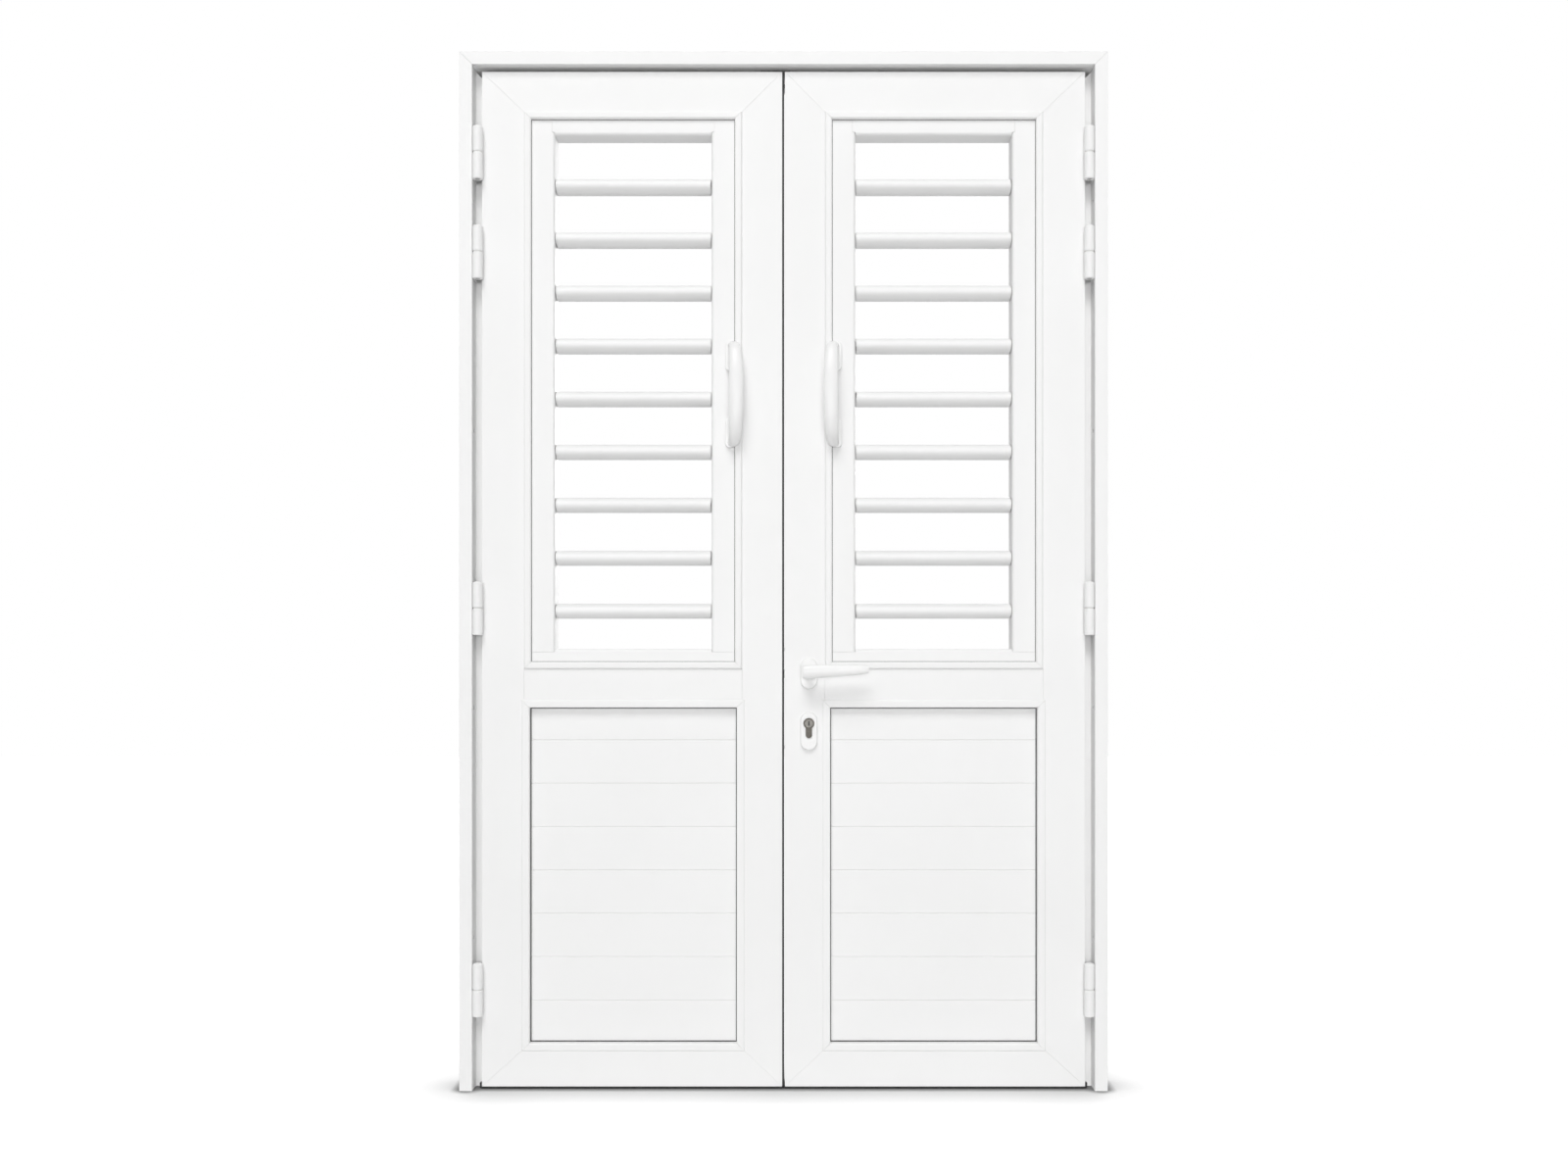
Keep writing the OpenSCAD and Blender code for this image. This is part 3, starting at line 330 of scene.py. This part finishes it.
def finish_piece(piece, name, body, slot):
    """Names a modelled piece, gives it its finish and ties it to its body."""
    piece.name = name
    piece.data.materials.clear()
    piece.data.materials.append(finishes[slot])
    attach(piece, body)


def rounded_block(centre, size, edge, segments):
    """A block at its place and size with all its edges rounded."""
    bpy.ops.object.select_all(action="DESELECT")
    bpy.ops.mesh.primitive_cube_add(size=1, location=centre)
    block = bpy.context.object
    block.scale = size
    bpy.ops.object.transform_apply(location=True, rotation=True, scale=True)
    bpy.ops.object.mode_set(mode="EDIT")
    bpy.ops.mesh.select_all(action="SELECT")
    bpy.ops.mesh.bevel(offset=edge, segments=segments)
    bpy.ops.object.mode_set(mode="OBJECT")
    bpy.ops.object.shade_smooth_by_angle(angle=smooth_angle)
    return block


upper_bead_w = 0.015
# Dark strip under the upper bead: painted shade for its shaded corner, not a real gasket.
upper_shade_strip_w = 0.0008
upper_shade_strip_t = 0.001
lower_bead_w = 0.016
# Lower glazing gasket, made wide and dark so that it also paints the shade of the recess.
lower_gasket_shade_w = 0.002
lower_gasket_shade_t = 0.002
strip_edge_share = 0.3
cassette_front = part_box("left_louvre_stiles")[0].y
plank_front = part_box("left_lower_bead")[1].y


def gasket_and_shade_strip(side, bead, bead_w, seat_y, width, thickness):
    """Dark rubber strip along a bead's inner edge, in the corner with what the bead holds: painted shade
    only under the upper bead, a real glazing gasket that also paints the recess's shade under the lower
    bead.
    """
    low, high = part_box(side + bead)
    centre = ((low.x + high.x) / 2, seat_y, (low.z + high.z) / 2)
    bpy.ops.object.select_all(action="DESELECT")
    bpy.ops.mesh.primitive_plane_add(size=1, location=centre, rotation=(radians(90), 0, 0))
    strip = bpy.context.object
    strip.scale = (high.x - low.x - 2 * bead_w, high.z - low.z - 2 * bead_w, 1)
    bpy.ops.object.transform_apply(location=True, rotation=True, scale=True)
    bpy.ops.object.mode_set(mode="EDIT")
    bpy.ops.mesh.select_all(action="SELECT")
    bpy.ops.mesh.inset(thickness=width)
    bpy.ops.mesh.delete(type="FACE")
    bpy.ops.object.mode_set(mode="OBJECT")
    press(strip, "SOLIDIFY", thickness=thickness, offset=1)
    edge = strip_edge_share * width
    press(strip, "BEVEL", width=edge, segments=2, limit_method="ANGLE", angle_limit=bevel_angle)
    bpy.ops.object.shade_smooth_by_angle(angle=smooth_angle)
    finish_piece(strip, side + bead + "_gasket", side + "leaf", "black_rubber")


seal_plug_w = 0.005
seal_plug_h = 0.011
seal_plug_edge = 0.0012


def seal_plug(side):
    """Rubber plug that closes the bottom seal at the hinge edge."""
    low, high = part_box(side + "bottom_seal")
    edge_x = low.x if side == "left_" else high.x
    out = -seal_plug_w if side == "left_" else seal_plug_w
    centre = (edge_x + out / 2, (low.y + high.y) / 2, low.z + seal_plug_h / 2)
    size = (seal_plug_w, high.y - low.y, seal_plug_h)
    plug = rounded_block(centre, size, seal_plug_edge, segments=3)
    finish_piece(plug, side + "seal_plug", side + "leaf", "black_rubber")


for side in ("left_", "right_"):
    # Dark strips in the bead corners: painted shade under the upper bead, gasket plus painted shade under
    # the lower bead.
    gasket_and_shade_strip(side, "upper_bead", upper_bead_w, cassette_front, upper_shade_strip_w, upper_shade_strip_t)
    gasket_and_shade_strip(side, "lower_bead", lower_bead_w, plank_front, lower_gasket_shade_w, lower_gasket_shade_t)
    seal_plug(side)


keyway_w = 0.0026
keyway_h = 0.009
shade_block_t = 0.0012
shade_block_sink = 0.0004
shade_block_edge = 0.0002


def keyway_shade_block(name, facing):
    """Black block just inside the keyway, painted shade that darkens the hole; facing is -1 on the outside
    and 1 on the inside.
    """
    low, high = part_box("cylinder_body")
    axis_x = (low.x + high.x) / 2
    axis_z = high.z - (high.x - low.x) / 2
    mouth_y = low.y if facing < 0 else high.y
    middle_y = mouth_y - facing * (shade_block_sink + shade_block_t / 2)
    size = (keyway_w, shade_block_t, keyway_h)
    shade_block = rounded_block((axis_x, middle_y, axis_z), size, shade_block_edge, segments=2)
    finish_piece(shade_block, name, body_of["cylinder_plug"], "black_rubber")


# Black blocks in the keyways paint the shade of the hole.
keyway_shade_block("outer_keyway_shade_block", -1)
keyway_shade_block("inner_keyway_shade_block", 1)


# Countersunk screws of the hinge plates, lock plates and bolt plates

screw_r = 0.0038
screw_head_t = 0.0008
screw_sides = 28
screw_angle = radians(30)
crown_steps = (0.0006, 0.0008, 0.001)
crown_rise = 0.00032
crown_fall_share = 0.25
recess_len_share = 1.15
recess_w_share = 0.2
recess_h = 0.0018
recess_z = 0.0008
second_bar_rise = 0.0001
facing_up = 0.9


def cross_cutter():
    """Two crossed bars that press the recess into a screw's head."""
    bpy.ops.object.select_all(action="DESELECT")
    bpy.ops.mesh.primitive_cube_add(size=1, location=(0, 0, 0))
    cutter = bpy.context.object
    bpy.ops.object.mode_set(mode="EDIT")
    bpy.ops.mesh.select_all(action="SELECT")
    bpy.ops.transform.resize(value=(recess_len_share * screw_r, recess_w_share * screw_r, recess_h))
    bpy.ops.mesh.duplicate()
    bpy.ops.transform.rotate(value=radians(90), orient_axis="Z", center_override=(0, 0, 0))
    bpy.ops.transform.translate(value=(0, 0, second_bar_rise))
    bpy.ops.mesh.select_all(action="SELECT")
    bpy.ops.transform.translate(value=(0, 0, recess_z))
    bpy.ops.object.mode_set(mode="OBJECT")
    return cutter


def countersunk_screw():
    """Screw head with a low crown and a cross recess, facing up at the origin."""
    bpy.ops.object.select_all(action="DESELECT")
    bpy.ops.mesh.primitive_cylinder_add(vertices=screw_sides, radius=screw_r, depth=screw_head_t,
                                        location=(0, 0, 0))
    head = bpy.context.object
    bpy.ops.object.mode_set(mode="EDIT")
    bpy.ops.mesh.select_all(action="DESELECT")
    bpy.ops.object.mode_set(mode="OBJECT")
    for face in head.data.polygons:
        face.select = face.normal.z > facing_up
    bpy.ops.object.mode_set(mode="EDIT")
    for step in crown_steps:
        bpy.ops.mesh.inset(thickness=step)
        bpy.ops.transform.translate(value=(0, 0, crown_rise - crown_fall_share * step))
    bpy.ops.object.mode_set(mode="OBJECT")
    cutter = cross_cutter()
    press(head, "BOOLEAN", operation="DIFFERENCE", solver="EXACT", use_self=True, object=cutter)
    bpy.data.objects.remove(cutter)
    only(head)
    bpy.ops.object.shade_smooth_by_angle(angle=screw_angle)
    return head


def set_screw(name, place, facing, body):
    """Copies the screw to a place on a plate, its head facing outwards."""
    screw = screw_master.copy()
    screw.data = screw_master.data.copy()
    turn = Vector(facing).to_track_quat("Z", "Y").to_matrix().to_4x4()
    screw.data.transform(Matrix.Translation(place) @ turn)
    bpy.context.scene.collection.objects.link(screw)
    finish_piece(screw, name, body, "steel")


screw_master = countersunk_screw()
hinge_heights = (0.206, 0.983, 1.709, 1.912)
hinge_screw_rises = (("low", 0.014), ("high", 0.038))
hinge_screw_y = -0.018
leaf_plate_x = 0.62
frame_plate_x = 0.631
for side, sign in (("left_", -1), ("right_", 1)):
    for number, hinge_z in enumerate(hinge_heights, 1):
        for end, rise in hinge_screw_rises:
            on_leaf = (sign * leaf_plate_x, hinge_screw_y, hinge_z + rise)
            set_screw(f"{side}hinge_{number}_{end}_screw", on_leaf, (sign, 0, 0), side + "leaf")
            on_frame = (sign * frame_plate_x, hinge_screw_y, hinge_z - rise)
            set_screw(f"{side}frame_{number}_{end}_screw", on_frame, (-sign, 0, 0), "frame")

meeting_x = 0.00275
lock_screw_heights = (("low", 0.698), ("high", 0.9))
bolt_screw_heights = (0.1305, 0.2745, 1.8115, 1.9555)
for end, height in lock_screw_heights:
    set_screw(f"faceplate_{end}_screw", (meeting_x, 0, height), (-1, 0, 0), "right_leaf")
    set_screw(f"strike_{end}_screw", (-meeting_x, 0, height), (1, 0, 0), "left_leaf")
for number, height in enumerate(bolt_screw_heights, 1):
    set_screw(f"bolt_plate_{number}_screw", (-meeting_x, 0, height), (1, 0, 0), "left_leaf")

keep_screw_inset = 0.008
keep_low, keep_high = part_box("head_bolt_keep")
for end, along in (("outer", keep_low.x + keep_screw_inset), ("inner", keep_high.x - keep_screw_inset)):
    set_screw(f"head_keep_{end}_screw", (along, 0, keep_low.z), (0, 0, -1), "frame")
bpy.data.objects.remove(screw_master)


# Floor

floor_size = 24
floor_tone = (0.22, 0.22, 0.22)
floor_glow = 0.96
shade_samples = 16
bounce_tone = (0.82, 0.82, 0.82, 1)
white = (1, 1, 1, 1)


def math_node(tree, operation, first, second):
    """A node that works out one value from a link and a second link or plain number."""
    node = tree.nodes.new("ShaderNodeMath")
    node.operation = operation
    tree.links.new(first, node.inputs[0])
    if isinstance(second, float):
        node.inputs[1].default_value = second
    else:
        tree.links.new(second, node.inputs[1])
    return node.outputs["Value"]


def painted_floor_shadow(tree, reach, depth):
    """Painted shadow: darkening of the floor's glow close to what stands on it, by ambient occlusion; reach
    is in metres.
    """
    near = tree.nodes.new("ShaderNodeAmbientOcclusion")
    near.inputs["Distance"].default_value = reach
    near.samples = shade_samples
    return math_node(tree, "POWER", near.outputs["AO"], depth)


def floor_finish():
    """White floor with a faint real shadow in its grey diffuse, and a painted shadow and painted dark line
    of contact where its glow is darkened near what stands on it; other rays meet a plain pale grey.
    """
    material, shader = start_finish("studio_floor", floor_tone, roughness=0.9)
    shader.inputs["Specular IOR Level"].default_value = 0.0
    shader.inputs["Emission Color"].default_value = white
    tree = material.node_tree
    # Two ambient-occlusion passes darken the glow, painting the contact shadow and the dark contact line.
    shadow_halo = painted_floor_shadow(tree, reach=0.17, depth=1.25)
    contact_shadow_line = painted_floor_shadow(tree, reach=0.022, depth=3.5)
    shade = math_node(tree, "MULTIPLY", shadow_halo, contact_shadow_line)
    glow = math_node(tree, "MULTIPLY", shade, floor_glow)
    tree.links.new(glow, shader.inputs["Emission Strength"])
    seen = tree.nodes.new("ShaderNodeLightPath")
    bounce = tree.nodes.new("ShaderNodeBsdfDiffuse")
    bounce.inputs["Color"].default_value = bounce_tone
    mix = tree.nodes.new("ShaderNodeMixShader")
    tree.links.new(seen.outputs["Is Camera Ray"], mix.inputs["Fac"])
    tree.links.new(bounce.outputs["BSDF"], mix.inputs[1])
    tree.links.new(shader.outputs["BSDF"], mix.inputs[2])
    tree.links.new(mix.outputs["Shader"], tree.nodes["Material Output"].inputs["Surface"])
    return material


bpy.ops.object.select_all(action="DESELECT")
bpy.ops.mesh.primitive_plane_add(size=floor_size, location=(0, 0, 0))
floor = bpy.context.object
floor.name = "studio_floor"
floor.data.materials.append(floor_finish())


# Light

ambient_level = 0.3


def studio_world():
    """White where it is seen, mirrored or seen through, and an even ambient light on the rest."""
    world = bpy.data.worlds.new("studio")
    world.use_nodes = True
    tree = world.node_tree
    ambient = tree.nodes["Background"]
    ambient.inputs["Color"].default_value = white
    ambient.inputs["Strength"].default_value = ambient_level
    backdrop = tree.nodes.new("ShaderNodeBackground")
    backdrop.inputs["Color"].default_value = white
    backdrop.inputs["Strength"].default_value = 1.0
    rays = tree.nodes.new("ShaderNodeLightPath").outputs
    seen_or_glossy = math_node(tree, "MAXIMUM", rays["Is Camera Ray"], rays["Is Glossy Ray"])
    seen_or_clear = math_node(tree, "MAXIMUM", seen_or_glossy, rays["Is Transmission Ray"])
    mix = tree.nodes.new("ShaderNodeMixShader")
    tree.links.new(seen_or_clear, mix.inputs["Fac"])
    tree.links.new(ambient.outputs["Background"], mix.inputs[1])
    tree.links.new(backdrop.outputs["Background"], mix.inputs[2])
    tree.links.new(mix.outputs["Shader"], tree.nodes["World Output"].inputs["Surface"])
    return world


def softbox(name, place, aim, width, height, watts):
    """A rectangular studio light that faces its aim."""
    bpy.ops.object.light_add(type="AREA", location=place)
    lamp = bpy.context.object
    lamp.name = name
    lamp.data.shape = "RECTANGLE"
    lamp.data.size = width
    lamp.data.size_y = height
    lamp.data.energy = watts
    lamp.rotation_euler = (Vector(aim) - Vector(place)).to_track_quat("-Z", "Y").to_euler()


bpy.context.scene.world = studio_world()
softbox("key_softbox", place=(-1.75, -12.0, 14.1), aim=(0, 0, 1.1), width=8.0, height=8.0, watts=1455)
softbox("front_softbox", place=(0.2, -14.0, 1.6), aim=(0, 0, 1.0), width=6.0, height=2.8, watts=475)
softbox("back_softbox", place=(5.5, 13.0, 4.0), aim=(0, 0, 1.1), width=6.0, height=4.0, watts=800)


# Camera: level, square to the doors, the picture's floor line set by the shift

image_w = 1600
sensor_w = 36
face_scale = 501.5
camera_reach = 2.9
horizon_row = 690
floor_row = 1113.5
middle_row = 600
centre_column = 799.5
face_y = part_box("left_jamb")[0].y
bpy.ops.object.camera_add()
camera = bpy.context.object
camera.name = "photo_camera"
camera.data.sensor_width = sensor_w
camera.data.lens = face_scale * camera_reach * sensor_w / image_w
camera.data.shift_y = (horizon_row - middle_row) / image_w
camera.data.shift_x = (image_w / 2 - centre_column) / image_w
camera.location = (0, face_y - camera_reach, (floor_row - horizon_row) / face_scale)
camera.rotation_euler = (radians(90), 0, 0)
bpy.context.scene.camera = camera
bpy.context.scene.view_settings.view_transform = "Standard"
